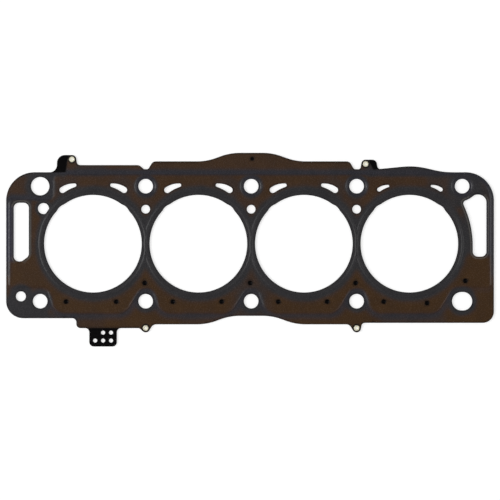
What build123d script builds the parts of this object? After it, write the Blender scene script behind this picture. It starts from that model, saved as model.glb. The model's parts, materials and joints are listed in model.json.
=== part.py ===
"""Multi-layer steel cylinder head gasket for a four-cylinder in-line engine.

Two embossed active layers hold a thick carrier plate between them. A thin stopper ring lies on the
carrier round each bore, under the land of the upper layer, and four tubular rivets keep the sheets
together. The gasket lies flat: +X runs along the row of bores, +Y across it, and +Z is up, towards
the cylinder head. The origin is the middle of the bolt field, on the plane where the lower bead
crests meet the block.
"""

import os
from math import cos, degrees, radians, sin, tan

from build123d import *

os.makedirs("parts", exist_ok=True)

# ------------------------------------------------------------- driving dimensions, millimetres
# bores, and the metal left between two of them
BORE_COUNT = 4
BORE_R = 43.0
BORE_WEB = 7.0

# valve reliefs: shallow scallops of each bore's edge, their angle off the +Y axis, radius, depth,
# and the radius that eases them into the edge
RELIEF_ANGLE = 41.8
RELIEF_R = 10.0
RELIEF_DEPTH = 0.68
RELIEF_EASE_R = 8.0

# head bolts: a row above and a row below, one at each end and between each two bores
BOLT_ROW_GAP = 7.7
BOLT_HOLE_R = 6.4
DOWEL_HOLE_R = 8.1
DOWEL_FLOAT = 1.5

# sheets and stopper rings, and how far the inner ones stand back from the bore's edge
ACTIVE_T = 0.28
STOPPER_T = 0.12
CARRIER_T = 0.94
INNER_SETBACK = 0.2

# full bead round each bore: land at the bore's edge, foot width, crest width, height
BEAD_LAND = 1.7
BEAD_FOOT_W = 4.2
BEAD_CREST_W = 1.4
BEAD_H = 0.2

# half bead: the width of its slope, and the flat pad that it leaves round a bolt hole
STEP_W = 1.4
BOLT_PAD = 1.5

# half bead's run: its distance inside the ends, outside the upper bolts and the lower edge
RUN_LEFT = 2.6
RUN_RIGHT = 2.1
RUN_TOP = 10.9
RUN_LOW = 11.8
RUN_OVER_BOLT = 10.3
RUN_OVER_END_BOLT = 11.7
RUN_UNDER_DOWEL = 11.3
RUN_BESIDE_DOWEL = 10.6
RUN_CORNER_R = 4.0
RUN_SHOULDER_R = 6.0
RUN_SAG_R = 14.0
RUN_LEFT_ANGLE = 57.0
RUN_RIGHT_ANGLE = 71.0
RUN_SHOULDER_LEFT = 3.5
RUN_SHOULDER_RIGHT = 5.3

# flange edges: distances out from the end bolts and from the bolt rows
END_LEFT = 30.0
END_RIGHT = 28.0
TOP_END = 12.3
TOP_LEFT = 18.6
TOP_MIDDLE = 21.9
BOTTOM_END = 15.0
BOTTOM_LEFT = 23.75
BOTTOM_MIDDLE = 20.4
BOTTOM_RIGHT = 19.1
CORNER_TOP_R = 25.0
CORNER_LEFT_R = 15.0
CORNER_RIGHT_R = 10.0

# rise of the upper edge and matching recess of the lower one, at the middle of the length
RISE_H = 7.5
RISE_TOP_W = 37.6
RISE_SLOPE_W = 20.2
RISE_R = 50.0

# low hump of the upper edge over the last bore
HUMP_H = 5.87
HUMP_SHIFT = 4.5
HUMP_FALL_W = 25.8
HUMP_START_H = 2.4
HUMP_R = 65.0

# step of the lower edge near the left end
STEP_SHIFT = 14.6
STEP_R = 3.7

# notches of the upper edge over the second and fourth bolts
NOTCH_FLOOR = 14.95
NOTCH_W = 3.6
NOTCH_SHIFT = 0.4
SECOND_NOTCH_W = 5.5
NOTCH_LEFT_ANGLE = 39.5
NOTCH_RIGHT_ANGLE = 59.0
NOTCH_R = 2.2
NOTCH_LIP_R = 4.6

# rivet lugs: places from the nearest bolt, nose radius and the lean of each side
LUG_1_X = 28.0
LUG_1_Y = 23.7
LUG_2_X = 7.95
LUG_2_Y = 19.6
LUG_LOW_Y = 23.65
LUG_R = 3.8
LUG_FLAT = 0.03
LUG_ROOT_R = 3.0
LUG_FOOT_R = 5.0
LUG_EDGE_R = 1.5
LUG_1_ANGLES = (80.6, 81.0)
LUG_2_ANGLES = (80.5, 61.6)
LUG_3_ANGLES = (43.0, 58.0)
LUG_4_ANGLES = (59.0, 80.0)

# ears of the carrier plate beside the two upper lugs
EAR_1_W = 13.2
EAR_1_R = 7.0
EAR_1_ROOT_R = 6.5
EAR_2_W = 9.2
EAR_2_R = 4.2
EAR_2_LEAN = 1.7

# tubular rivets
RIVET_BORE_R = 1.0
RIVET_BARREL_R = 1.55
RIVET_CLEARANCE = 0.05
RIVET_HEAD_R = 2.65
RIVET_HEAD_T = 0.3
RIVET_ROLL = 0.2

# thickness-marking tab of the carrier plate
TAB_SHIFT = 8.95
TAB_W = 24.3
TAB_REACH = 16.2
TAB_R = 4.0
TAB_ROOT_R = 3.6
MARK_R = 1.775
MARK_PITCH = 7.0
MARK_EDGE = 5.25

# coolant slots above each bore, tapering from a wide end to a narrow one: the angles of the two
# ends off the +Y axis, their radii and distances from the bore, and those of the sides between
KIDNEY_ANGLES = (18.0, 30.1)
KIDNEY_END_RS = (1.55, 2.65)
KIDNEY_END_GAPS = (11.25, 11.75)
KIDNEY_SIDE_GAPS = (9.5, 14.2)
FIRST_KIDNEY_SHIFT = 0.6
LAST_KIDNEY_SHIFT = 0.5
LAST_KIDNEY_ANGLES = (20.8, 29.6)
LAST_KIDNEY_END_RS = (1.0, 1.75)
LAST_KIDNEY_END_GAPS = (11.4, 11.9)
LAST_KIDNEY_SIDE_GAPS = (10.4, 13.5)

# round ports
WEB_PORT_R = 3.8
WEB_PORT_DROP = 20.3
SIDE_PORT_R = 4.85
SIDE_PORT_X = 2.9
SIDE_PORT_DROP = 19.7
SIDE_PORT_LAND = 0.5
OIL_PORT_R = 4.4
OIL_PORT_X = 17.0
OIL_PORT_RISE = 4.3

# long slot at the left end, with one bevelled corner
LEFT_SLOT_X = 16.65
LEFT_SLOT_Y = 10.25
LEFT_SLOT_W = 13.3
LEFT_SLOT_L = 51.7
LEFT_BEVEL_W = 6.3
LEFT_BEVEL_H = 4.6
SLOT_R = 4.5

# slot at the right end, whose inner side bows round the last bore
RIGHT_SLOT_X = 15.4
RIGHT_SLOT_W = 12.0
RIGHT_SLOT_BOTTOM = -11.4
RIGHT_SLOT_TOP = 43.3
BOW_Y = 15.3
BOW_R = 85.0
HEEL_X = 9.1
HEEL_Y = 36.8
HEEL_R = 2.6
SHOULDER_IN_X = 2.5
SHOULDER_IN_Y = 39.9
SHOULDER_OUT_X = 2.1
SHOULDER_R = 5.0
SLOT_CROWN_R = 7.0

# small blind holes of the upper sheet: left and right below each bore, at the webs and beside the last bore
BLIND_R = 2.0
BLIND_FIRST_X = 23.7
BLIND_LEFT_X = 22.6
BLIND_RIGHT_X = 20.5
BLIND_DROP = 8.1
BLIND_WEB_X = 0.9
BLIND_WEB_RISE = 16.1
BLIND_LAST_X = 15.6
BLIND_LAST_DROP = 9.3
BLIND_END_X = 2.8
BLIND_END_RISE = 18.0
PIN_HOLE_R = 1.6
PIN_HOLE_X = 0.9
PIN_HOLE_DROP = 5.2

# half-round nicks where the sheets were parted from the strip
NICK_R = 1.2
NICK_LEFT_X = 21.7
NICK_RIGHT_X = 14.5

# ----------------------------------------------------------------------------- derived places
BORE_PITCH = 2 * BORE_R + BORE_WEB
BORE_XS = [(i - (BORE_COUNT - 1) / 2) * BORE_PITCH for i in range(BORE_COUNT)]
BOLT_XS = [(i - BORE_COUNT / 2) * BORE_PITCH for i in range(BORE_COUNT + 1)]
FIRST_X, LAST_X = BOLT_XS[0], BOLT_XS[-1]
WEB_XS = BOLT_XS[1:-1]
ROW_Y = BORE_R + BOLT_ROW_GAP
LEFT_X, RIGHT_X = FIRST_X - END_LEFT, LAST_X + END_RIGHT
RISE_XS = (RISE_TOP_W / 2, RISE_TOP_W / 2 + RISE_SLOPE_W)

STEP_H = STOPPER_T
BOTTOM_Z = STEP_H + BEAD_H
CARRIER_Z = BOTTOM_Z + ACTIVE_T
TOP_Z = CARRIER_Z + CARRIER_T
STACK_TOP_Z = TOP_Z + ACTIVE_T
PIERCE_UNDER = ACTIVE_T + STEP_H + BEAD_H
PIERCE = 3 * PIERCE_UNDER

BORES = [(x, 0) for x in BORE_XS]
UPPER_BOLTS = [(x, ROW_Y) for x in BOLT_XS[1:]]
LOWER_BOLTS = [(x, -ROW_Y) for x in BOLT_XS[:-1]]
LUG_1 = (FIRST_X + LUG_1_X, ROW_Y + LUG_1_Y)
LUG_2 = (WEB_XS[-1] + LUG_2_X, ROW_Y + LUG_2_Y)
LUG_3 = (WEB_XS[0], -ROW_Y - LUG_LOW_Y)
LUG_4 = (WEB_XS[-1], -ROW_Y - LUG_LOW_Y)
LUGS = (LUG_1, LUG_2, LUG_3, LUG_4)
TAB_X = BORE_XS[0] + TAB_SHIFT
TAB_TIP_Y = -ROW_Y - BOTTOM_LEFT - TAB_REACH


# ------------------------------------------------------------------------------ outline corners
def lean(height, angle):
    """How far a side that leans at an angle from the edge runs along it over a height."""
    return abs(height) / tan(radians(angle))


def lug_corners(lug, up, left_angle, left_y, left_r, right_angle, right_y, right_r):
    """Root, nose, nose and root of a round-nosed lug, from its left side to its right."""
    nose_y = lug[1] + up * LUG_R
    left_x = lug[0] - LUG_R * tan(radians(left_angle / 2)) - LUG_FLAT
    right_x = lug[0] + LUG_R * tan(radians(right_angle / 2)) + LUG_FLAT
    return [
        (left_x - lean(nose_y - left_y, left_angle), left_y, left_r),
        (left_x, nose_y, LUG_R),
        (right_x, nose_y, LUG_R),
        (right_x + lean(nose_y - right_y, right_angle), right_y, right_r),
    ]


def rise_corners(edge_y):
    """The four corners of the raised middle stretch of an edge, from left to right."""
    top_x, foot_x = RISE_XS
    return [
        (-foot_x, edge_y, RISE_R),
        (-top_x, edge_y + RISE_H, RISE_R),
        (top_x, edge_y + RISE_H, RISE_R),
        (foot_x, edge_y, RISE_R),
    ]


def top_corners(with_ears):
    """Corners of the upper edge from the left end to the right, as (x, y, radius)."""
    end_y, left_y, middle_y = ROW_Y + TOP_END, ROW_Y + TOP_LEFT, ROW_Y + TOP_MIDDLE
    floor_y = ROW_Y + NOTCH_FLOOR

    left_lug = lug_corners(
        LUG_1, 1, LUG_1_ANGLES[0], end_y, LUG_EDGE_R, LUG_1_ANGLES[1], left_y, LUG_ROOT_R
    )
    if with_ears:
        ear_x = LUG_1[0] - EAR_1_W
        left_lug[:2] = [(ear_x, end_y, EAR_1_ROOT_R), (ear_x, LUG_1[1] + LUG_R, EAR_1_R)]

    floor_x = WEB_XS[0] + NOTCH_SHIFT - NOTCH_W / 2
    notch = [
        (floor_x - lean(left_y - floor_y, NOTCH_LEFT_ANGLE), left_y, NOTCH_LIP_R),
        (floor_x, floor_y, NOTCH_R),
        (floor_x + NOTCH_W, floor_y, NOTCH_R),
        (floor_x + NOTCH_W + lean(middle_y - floor_y, NOTCH_RIGHT_ANGLE), middle_y, NOTCH_LIP_R),
    ]

    hump_y = end_y + HUMP_START_H
    right_lug = lug_corners(
        LUG_2, 1, LUG_2_ANGLES[0], floor_y, NOTCH_R, LUG_2_ANGLES[1], hump_y, LUG_EDGE_R
    )
    if with_ears:
        ear_x = LUG_2[0] + EAR_2_W
        right_lug[2:] = [
            (ear_x, LUG_2[1] + LUG_R, EAR_2_R),
            (ear_x + EAR_2_LEAN, hump_y, LUG_ROOT_R),
        ]
    floor_x = right_lug[0][0] - SECOND_NOTCH_W
    second_notch = [
        (floor_x - lean(middle_y - floor_y, NOTCH_RIGHT_ANGLE), middle_y, NOTCH_LIP_R),
        (floor_x, floor_y, NOTCH_R),
    ]

    hump_x = BORE_XS[-1] + HUMP_SHIFT
    return [
        (LEFT_X, end_y, CORNER_TOP_R),
        *left_lug,
        *notch,
        *rise_corners(middle_y),
        *second_notch,
        *right_lug,
        (hump_x, end_y + HUMP_H, HUMP_R),
        (hump_x + HUMP_FALL_W, end_y, HUMP_R),
        (RIGHT_X, end_y, CORNER_TOP_R),
    ]


def bottom_corners(with_tab):
    """Corners of the lower edge from the left end to the right, as (x, y, radius)."""
    end_y, left_y = -ROW_Y - BOTTOM_END, -ROW_Y - BOTTOM_LEFT
    middle_y, right_y = -ROW_Y - BOTTOM_MIDDLE, -ROW_Y - BOTTOM_RIGHT
    step_x = BORE_XS[0] - STEP_SHIFT
    tab = [
        (TAB_X - TAB_W / 2, left_y, TAB_ROOT_R),
        (TAB_X - TAB_W / 2, TAB_TIP_Y, TAB_R),
        (TAB_X + TAB_W / 2, TAB_TIP_Y, TAB_R),
        (TAB_X + TAB_W / 2, left_y, TAB_ROOT_R),
    ]
    return [
        (LEFT_X, end_y, CORNER_LEFT_R),
        (step_x, end_y, STEP_R),
        (step_x, left_y, STEP_R),
        *(tab if with_tab else []),
        *lug_corners(
            LUG_3, -1, LUG_3_ANGLES[0], left_y, LUG_ROOT_R, LUG_3_ANGLES[1], middle_y, LUG_FOOT_R
        ),
        *rise_corners(middle_y),
        *lug_corners(
            LUG_4, -1, LUG_4_ANGLES[0], middle_y, LUG_FOOT_R, LUG_4_ANGLES[1], right_y, LUG_ROOT_R
        ),
        (RIGHT_X, right_y, CORNER_RIGHT_R),
    ]


def outline(with_tabs):
    """The whole edge of a sheet, clockwise: the carrier plate's has the ears and the tab."""
    return top_corners(with_tabs) + bottom_corners(with_tabs)[::-1]


def half_bead_run():
    """Corners of the half bead's foot, clockwise: it passes over each lower bolt in turn."""
    left_x, right_x = LEFT_X + RUN_LEFT, RIGHT_X - RUN_RIGHT
    top_y, low_y = ROW_Y + RUN_TOP, -ROW_Y - RUN_LOW
    end_y, bolt_y = -ROW_Y + RUN_OVER_END_BOLT, -ROW_Y + RUN_OVER_BOLT
    dowel_x, dowel_y = FIRST_X + RUN_BESIDE_DOWEL, ROW_Y - RUN_UNDER_DOWEL
    left_w = RUN_SHOULDER_LEFT + lean(bolt_y - low_y, RUN_LEFT_ANGLE)
    right_w = RUN_SHOULDER_RIGHT + lean(bolt_y - low_y, RUN_RIGHT_ANGLE)
    shift = DOWEL_HOLE_R - BOLT_HOLE_R + DOWEL_FLOAT

    over_bolts = []
    for x in reversed(WEB_XS):
        over_bolts += [
            (x + right_w, low_y, RUN_SAG_R),
            (x + RUN_SHOULDER_RIGHT, bolt_y, RUN_SHOULDER_R),
            (x - RUN_SHOULDER_LEFT, bolt_y, RUN_SHOULDER_R),
            (x - left_w, low_y, RUN_SAG_R),
        ]
    return [
        (left_x, dowel_y, RUN_CORNER_R),
        (dowel_x, dowel_y, RUN_CORNER_R),
        (dowel_x, top_y, RUN_SHOULDER_R),
        (right_x, top_y, CORNER_TOP_R - RUN_RIGHT),
        (right_x, end_y, RUN_CORNER_R),
        (LAST_X - RUN_SHOULDER_LEFT - shift, end_y, RUN_SHOULDER_R),
        (LAST_X - left_w - shift, low_y, RUN_SAG_R),
        *over_bolts,
        (FIRST_X + right_w, low_y, RUN_SAG_R),
        (FIRST_X + RUN_SHOULDER_RIGHT, end_y, RUN_SHOULDER_R),
        (left_x, end_y, RUN_CORNER_R),
    ]


# --------------------------------------------------------------------------------- sketch shapes
def rounded_face(corners):
    """A face with straight sides between (x, y, radius) corners."""
    points = [(x, y) for x, y, _ in corners]
    with BuildLine() as loop:
        FilletPolyline(points, radius=[r for *_, r in corners], close=True)
    make_face(loop.edges())


def polar_place(bore_x, angle, radius):
    """A place at a radius from a bore's middle, at an angle off the +Y axis towards +X."""
    return (bore_x + radius * sin(radians(angle)), radius * cos(radians(angle)))


def bore_edge(bore_x, edge_r):
    """A bore with its valve reliefs; a piece that stands back from it has a larger edge radius."""
    relief_place_r = BORE_R + RELIEF_DEPTH - RELIEF_R
    with BuildSketch(mode=Mode.PRIVATE) as edge:
        with Locations((bore_x, 0)):
            Circle(edge_r)
        for angle in (-RELIEF_ANGLE, RELIEF_ANGLE):
            with Locations(polar_place(bore_x, angle, relief_place_r)):
                Circle(RELIEF_R + edge_r - BORE_R)
        fillet(edge.vertices().filter_by(lambda vertex: vertex.Y > edge_r / 2), radius=RELIEF_EASE_R)
    add(edge.sketch)


def kidney(bore_x, side, angles, end_rs, end_gaps, side_gaps):
    """A slot that widens along an arc round a bore."""
    (start, end), (start_r, end_r) = angles, end_rs
    start_place_r, end_place_r = BORE_R + end_gaps[0], BORE_R + end_gaps[1]
    middle = (start + end) / 2

    def place(angle, radius):
        return polar_place(bore_x, side * angle, radius)

    start_cap = place(start - degrees(start_r / start_place_r), start_place_r)
    end_cap = place(end + degrees(end_r / end_place_r), end_place_r)
    near_start, near_end = place(start, start_place_r - start_r), place(end, end_place_r - end_r)
    far_start, far_end = place(start, start_place_r + start_r), place(end, end_place_r + end_r)
    with BuildLine() as loop:
        ThreePointArc(near_start, place(middle, BORE_R + side_gaps[0]), near_end)
        ThreePointArc(near_end, end_cap, far_end)
        ThreePointArc(far_end, place(middle, BORE_R + side_gaps[1]), far_start)
        ThreePointArc(far_start, start_cap, near_start)
    make_face(loop.edges())


def side_port():
    """The round port beside the first bore, trimmed where it would meet the bore's bead."""
    with BuildSketch(mode=Mode.PRIVATE) as port:
        with Locations((FIRST_X + SIDE_PORT_X, ROW_Y - SIDE_PORT_DROP)):
            Circle(SIDE_PORT_R)
        with Locations(BORES[0]):
            Circle(BORE_R + BEAD_LAND + BEAD_FOOT_W + SIDE_PORT_LAND, mode=Mode.SUBTRACT)
    add(port.sketch)


def left_slot():
    """The long slot at the left end."""
    left, right = FIRST_X - LEFT_SLOT_X - LEFT_SLOT_W / 2, FIRST_X - LEFT_SLOT_X + LEFT_SLOT_W / 2
    low, high = LEFT_SLOT_Y - LEFT_SLOT_L / 2, LEFT_SLOT_Y + LEFT_SLOT_L / 2
    rounded_face([
        (left, high, SLOT_R),
        (right, high, SLOT_R),
        (right, low + LEFT_BEVEL_H, SLOT_R),
        (right - LEFT_BEVEL_W, low, SLOT_R),
        (left, low, SLOT_R),
    ])


def right_slot():
    """The slot at the right end."""
    left = LAST_X + RIGHT_SLOT_X - RIGHT_SLOT_W / 2
    right = left + RIGHT_SLOT_W
    rounded_face([
        (left, RIGHT_SLOT_BOTTOM, SLOT_R),
        (left, BOW_Y, BOW_R),
        (left - HEEL_X, HEEL_Y, HEEL_R),
        (left - SHOULDER_IN_X, SHOULDER_IN_Y, SHOULDER_R),
        (left + SHOULDER_OUT_X, RIGHT_SLOT_TOP, SHOULDER_R),
        (right, RIGHT_SLOT_TOP, SLOT_CROWN_R),
        (right, RIGHT_SLOT_BOTTOM, SLOT_R),
    ])


def ports(edge_r):
    """Every opening that goes right through the stack."""
    for x in BORE_XS:
        bore_edge(x, edge_r)
    with Locations(*UPPER_BOLTS, *LOWER_BOLTS):
        Circle(BOLT_HOLE_R)
    with Locations((FIRST_X, ROW_Y)):
        Circle(DOWEL_HOLE_R)
    with Locations((LAST_X, -ROW_Y)):
        SlotOverall(2 * DOWEL_HOLE_R + DOWEL_FLOAT, 2 * DOWEL_HOLE_R)
    with Locations(*[(x, ROW_Y - WEB_PORT_DROP) for x in WEB_XS]):
        Circle(WEB_PORT_R)
    side_port()
    with Locations((FIRST_X - OIL_PORT_X, -ROW_Y + OIL_PORT_RISE)):
        Circle(OIL_PORT_R)
    with Locations(*LUGS):
        Circle(RIVET_BARREL_R + RIVET_CLEARANCE)
    for side, xs in ((-1, [BORE_XS[0] + FIRST_KIDNEY_SHIFT, *BORE_XS[1:-1]]), (1, BORE_XS[:-1])):
        for x in xs:
            kidney(x, side, KIDNEY_ANGLES, KIDNEY_END_RS, KIDNEY_END_GAPS, KIDNEY_SIDE_GAPS)
        kidney(
            BORE_XS[-1] + LAST_KIDNEY_SHIFT,
            side,
            LAST_KIDNEY_ANGLES,
            LAST_KIDNEY_END_RS,
            LAST_KIDNEY_END_GAPS,
            LAST_KIDNEY_SIDE_GAPS,
        )
    left_slot()
    right_slot()


def blind_holes():
    """The holes and nicks of the upper sheet that end at the carrier plate."""
    first_x, last_x = BORE_XS[0], BORE_XS[-1]
    places = [(x - BLIND_WEB_X, -ROW_Y + BLIND_WEB_RISE) for x in WEB_XS]
    places += [(first_x - BLIND_FIRST_X, -BORE_R - BLIND_DROP)]
    places += [(x - BLIND_LEFT_X, -BORE_R - BLIND_DROP) for x in BORE_XS[1:]]
    places += [(x + BLIND_RIGHT_X, -BORE_R - BLIND_DROP) for x in BORE_XS[:-1]]
    places += [(last_x + BLIND_LAST_X, -BORE_R - BLIND_LAST_DROP)]
    places += [(LAST_X + BLIND_END_X, -ROW_Y + BLIND_END_RISE)]
    with Locations(*places):
        Circle(BLIND_R)
    with Locations((PIN_HOLE_X, ROW_Y + TOP_MIDDLE + RISE_H - PIN_HOLE_DROP)):
        Circle(PIN_HOLE_R)
    with Locations(
        (FIRST_X + NICK_LEFT_X, -ROW_Y - BOTTOM_END),
        (WEB_XS[-1] + NICK_RIGHT_X, -ROW_Y - BOTTOM_RIGHT),
    ):
        Circle(NICK_R)


# --------------------------------------------------------------------------------- active layers
with BuildPart() as full_bead:
    with BuildSketch(Plane.XZ):
        foot_r = BORE_R + BEAD_LAND
        slope_w = (BEAD_FOOT_W - BEAD_CREST_W) / 2
        with BuildLine():
            Polyline(
                (foot_r, 0),
                (foot_r, STEP_H),
                (foot_r + slope_w, STEP_H + BEAD_H),
                (foot_r + slope_w + BEAD_CREST_W, STEP_H + BEAD_H),
                (foot_r + BEAD_FOOT_W, STEP_H),
                (foot_r + BEAD_FOOT_W, 0),
                close=True,
            )
        make_face()
    revolve(axis=Axis.Z)

with BuildPart() as embossing:
    with BuildSketch(Plane.XY.offset(-ACTIVE_T / 2)):
        rounded_face(half_bead_run())
    extrude(amount=ACTIVE_T / 2 + STEP_H)
    plateau = faces().sort_by(Axis.Z)[-1]
    chamfer(plateau.edges(), length=STEP_W, length2=STEP_H, reference=plateau)
    pad_r = BOLT_HOLE_R + BOLT_PAD
    with Locations(*UPPER_BOLTS):
        Cone(
            pad_r,
            pad_r + STEP_W,
            STEP_H,
            align=(Align.CENTER, Align.CENTER, Align.MIN),
            mode=Mode.SUBTRACT,
        )
    with Locations(*BORES):
        add(full_bead.part)

with BuildPart() as active_blank:
    with BuildSketch():
        rounded_face(outline(False))
    extrude(amount=ACTIVE_T)
    add(embossing.part.moved(Location((0, 0, ACTIVE_T))))
    add(embossing.part, mode=Mode.SUBTRACT)
    with BuildSketch(Plane.XY.offset(-PIERCE_UNDER)):
        ports(BORE_R)
    extrude(amount=PIERCE, mode=Mode.SUBTRACT)

with BuildPart() as upper_layer:
    add(active_blank.part.moved(Location((0, 0, TOP_Z))))
    with BuildSketch(Plane.XY.offset(TOP_Z)):
        blind_holes()
    extrude(amount=PIERCE, mode=Mode.SUBTRACT)

with BuildPart() as lower_layer:
    mirror(active_blank.part, about=Plane.XY.offset(CARRIER_Z / 2))

# --------------------------------------------------------------- carrier plate and stopper rings
with BuildPart() as carrier_plate:
    with BuildSketch(Plane.XY.offset(CARRIER_Z)):
        rounded_face(outline(True))
        with BuildSketch(mode=Mode.SUBTRACT):
            ports(BORE_R + INNER_SETBACK)
            with Locations((TAB_X, TAB_TIP_Y + MARK_EDGE)):
                with GridLocations(MARK_PITCH, 0, 3, 1):
                    Circle(MARK_R)
            with Locations((TAB_X + MARK_PITCH / 2, TAB_TIP_Y + MARK_EDGE + MARK_PITCH)):
                with GridLocations(MARK_PITCH, 0, 2, 1):
                    Circle(MARK_R)
    extrude(amount=CARRIER_T)

with BuildPart() as stopper_ring:
    with BuildSketch(Plane.XY.offset(TOP_Z)):
        Circle(BORE_R + BEAD_LAND)
        with BuildSketch(mode=Mode.SUBTRACT):
            bore_edge(0, BORE_R + INNER_SETBACK)
    extrude(amount=STOPPER_T)

# ---------------------------------------------------------------------------------------- rivets
with BuildPart() as eyelet:
    with BuildSketch(Plane.XZ):
        with BuildLine():
            Polyline(
                (RIVET_BORE_R, BOTTOM_Z - RIVET_HEAD_T),
                (RIVET_HEAD_R, BOTTOM_Z - RIVET_HEAD_T),
                (RIVET_HEAD_R, BOTTOM_Z),
                (RIVET_BARREL_R, BOTTOM_Z),
                (RIVET_BARREL_R, STACK_TOP_Z),
                (RIVET_HEAD_R, STACK_TOP_Z),
                (RIVET_HEAD_R, STACK_TOP_Z + RIVET_HEAD_T),
                (RIVET_BORE_R, STACK_TOP_Z + RIVET_HEAD_T),
                close=True,
            )
        make_face()
        ends = vertices().group_by(Axis.Y)
        chamfer(ends[0] + ends[-1], RIVET_ROLL)
    revolve(axis=Axis.Z)

# ---------------------------------------------------------------------------------------- output
pieces = {"upper_layer": upper_layer, "carrier_plate": carrier_plate, "lower_layer": lower_layer}


def place_copies(name, master, places):
    """Add a copy of a master piece to the pieces at each place, numbered from 1."""
    for number, place in enumerate(places, 1):
        with BuildPart() as copy:
            with Locations(place):
                add(master.part)
        pieces[f"{name}_{number}"] = copy


place_copies("stopper_ring", stopper_ring, BORES)
place_copies("eyelet", eyelet, LUGS)

for name, piece in pieces.items():
    piece.part.label = name
    export_step(piece.part, f"parts/{name}.step")
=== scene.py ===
"""Cylinder head gasket: embossed active layers, black carrier plate, stopper rings and rivets, over the CAD frame."""

import json
import math

import bmesh
import bpy
import numpy as np
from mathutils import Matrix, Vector
from mathutils.geometry import delaunay_2d_cdt


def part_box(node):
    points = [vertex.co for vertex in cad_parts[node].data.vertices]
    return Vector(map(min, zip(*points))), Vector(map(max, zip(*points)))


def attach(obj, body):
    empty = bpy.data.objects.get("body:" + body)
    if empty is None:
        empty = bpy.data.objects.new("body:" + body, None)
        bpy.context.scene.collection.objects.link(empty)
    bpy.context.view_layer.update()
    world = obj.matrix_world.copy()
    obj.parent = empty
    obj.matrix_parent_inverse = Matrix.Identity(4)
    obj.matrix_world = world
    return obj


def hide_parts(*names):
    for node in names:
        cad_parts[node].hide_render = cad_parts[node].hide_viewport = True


bl_info = {
    "name": "Head Gasket",
    "version": (1, 0, 0),
    "blender": (4, 5, 0),
    "location": "View3D > Sidebar > Gasket",
    "description": "Builds the sheets, rivets and finishes of a multi-layer steel cylinder head gasket",
    "category": "Object",
}

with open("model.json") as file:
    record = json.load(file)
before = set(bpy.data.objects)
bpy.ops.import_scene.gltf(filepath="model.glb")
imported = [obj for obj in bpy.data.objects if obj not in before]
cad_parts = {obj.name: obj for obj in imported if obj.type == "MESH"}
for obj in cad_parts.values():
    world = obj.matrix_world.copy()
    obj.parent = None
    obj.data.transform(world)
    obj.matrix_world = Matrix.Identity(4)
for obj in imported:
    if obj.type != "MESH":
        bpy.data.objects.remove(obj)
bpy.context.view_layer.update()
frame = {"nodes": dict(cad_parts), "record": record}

MM = 0.001
MOUNTS = {mount["name"]: mount for mount in frame["record"]["mounts"]}
OPENINGS = {gap["name"]: gap["box_m"] for gap in frame["record"]["physics"]["openings"]}
BORES = np.array([MOUNTS[f"cylinder_bore_{i}"]["pos_m"][:2] for i in range(1, 5)]) / MM
BOLTS = np.array([np.mean(OPENINGS[f"bolt_hole_{i}"], axis=0)[:2] for i in range(1, 9)]) / MM
DOWEL_BORE = np.array(MOUNTS["dowel_bore"]["pos_m"][:2]) / MM
DOWEL_SLOT = np.array(MOUNTS["dowel_slot"]["pos_m"][:2]) / MM

# The active layers: their thickness, and the heights of the outer faces' flats. All lengths here are in millimetres.
ACTIVE_T = 0.28
UPPER_FLAT = 1.82
LOWER_FLAT = 0.32

# The beads as the press leaves them. The full bead's crest runs at this radius round a bore, its flanks reach this
# far to each side, and it stands this high.
BEAD_CREST_R = 46.9
BEAD_FLANK = 1.4
BEAD_RISE = 0.2
# The run is the half bead beside the outer edges: a step up to the middle of the sheet, over one flank's width, with
# a ridge on it whose crest lies where the step ends.
RUN_FLANK = 1.1
RUN_RISE = 0.12
RUN_RIDGE = 0.16
# Along both ends its foot lies this far outside the CAD sheet's. The shift comes in between these values of X.
RUN_SHIFT = 0.65
RUN_SHIFT_X = (203, 209)
# The run fades out softly beside the dowel's bore: the fade's middle, counted from the bore's, and its two radii.
# There the flank is wider by the first share, the ridge lower by the second, and the bluish band paler by the third.
FADE_OFFSET = (13, 0)
FADE_RADII = (9, 16)
FADE_WIDER = 1.6
FADE_LOWER = 0.7
FADE_PALER = 0.6
# The bluish band that the tool's edge leaves along the run. Its middle lies this far outside the CAD sheet's foot,
# and it eases off between the two distances from there. A distance on the outer side counts by this factor.
TONE_SHIFT = 1.0
TONE_REACH = (0.2, 4.2)
TONE_OUTSIDE = 0.75
TONE_WEIGHT = 0.3
# The tool pressed less along the lower edge: the band's strength there, and the values of Y between which it grows to
# the full one. It pressed least at the two lower end corners: the values of X between which they begin, their Y, the
# distances from it between which they end, and what the band loses there.
TONE_LOW = 0.75
TONE_RISE_Y = (-30, 20)
TONE_CORNER_X = (174, 182)
TONE_CORNER_Y = -40
TONE_CORNER_REACH = (8, 14)
TONE_CORNER_LOSS = 0.6
# A faint line that the die leaves round the two end slots: its distance from their edges, half its width, its height
# and how much paler it is, a painted highlight for the light that catches it. The boxes (lowest x and y, highest x
# and y) hold the slots' edges.
SLOT_LINE = 1.65
SLOT_LINE_HALF = 0.8
SLOT_LINE_RISE = 0.03
SLOT_LINE_HIGHLIGHT = 0.7
SLOT_BOXES = ((-211, -14, -195, 37.5), (184, -13, 208.6, 40))

# Where the press tool rubbed the coat. Circles: x, y, the radii between which the rubbing eases off, and its
# strength. They lie round the bores, bolts, dowels and two ports, at four coolant slots and beside the web ports.
RUBBED_CIRCLES = np.array(
    [(x, y, 48.0, 55.0, 1.0) for x, y in BORES] + [(x, y, 8.0, 13.0, 1.0) for x, y in BOLTS]
    + [(*DOWEL_BORE, 10.0, 17.0, 1.0), (*DOWEL_SLOT, 10.5, 16.0, 1.0)]
    + [(-183.1, 31.0, 5.5, 10.0, 1.0), (-203.0, -46.4, 8.0, 14.0, 1.0)]
    + [(x, 48.0, 9.0, 16.0, 0.45) for x in (-162.0, -115.0, -22.0, 71.0)]
    + [(x - 2.0, 35.0, 4.0, 14.0, 0.35) for x in (-93.0, 0.0, 93.0)]
)
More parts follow.
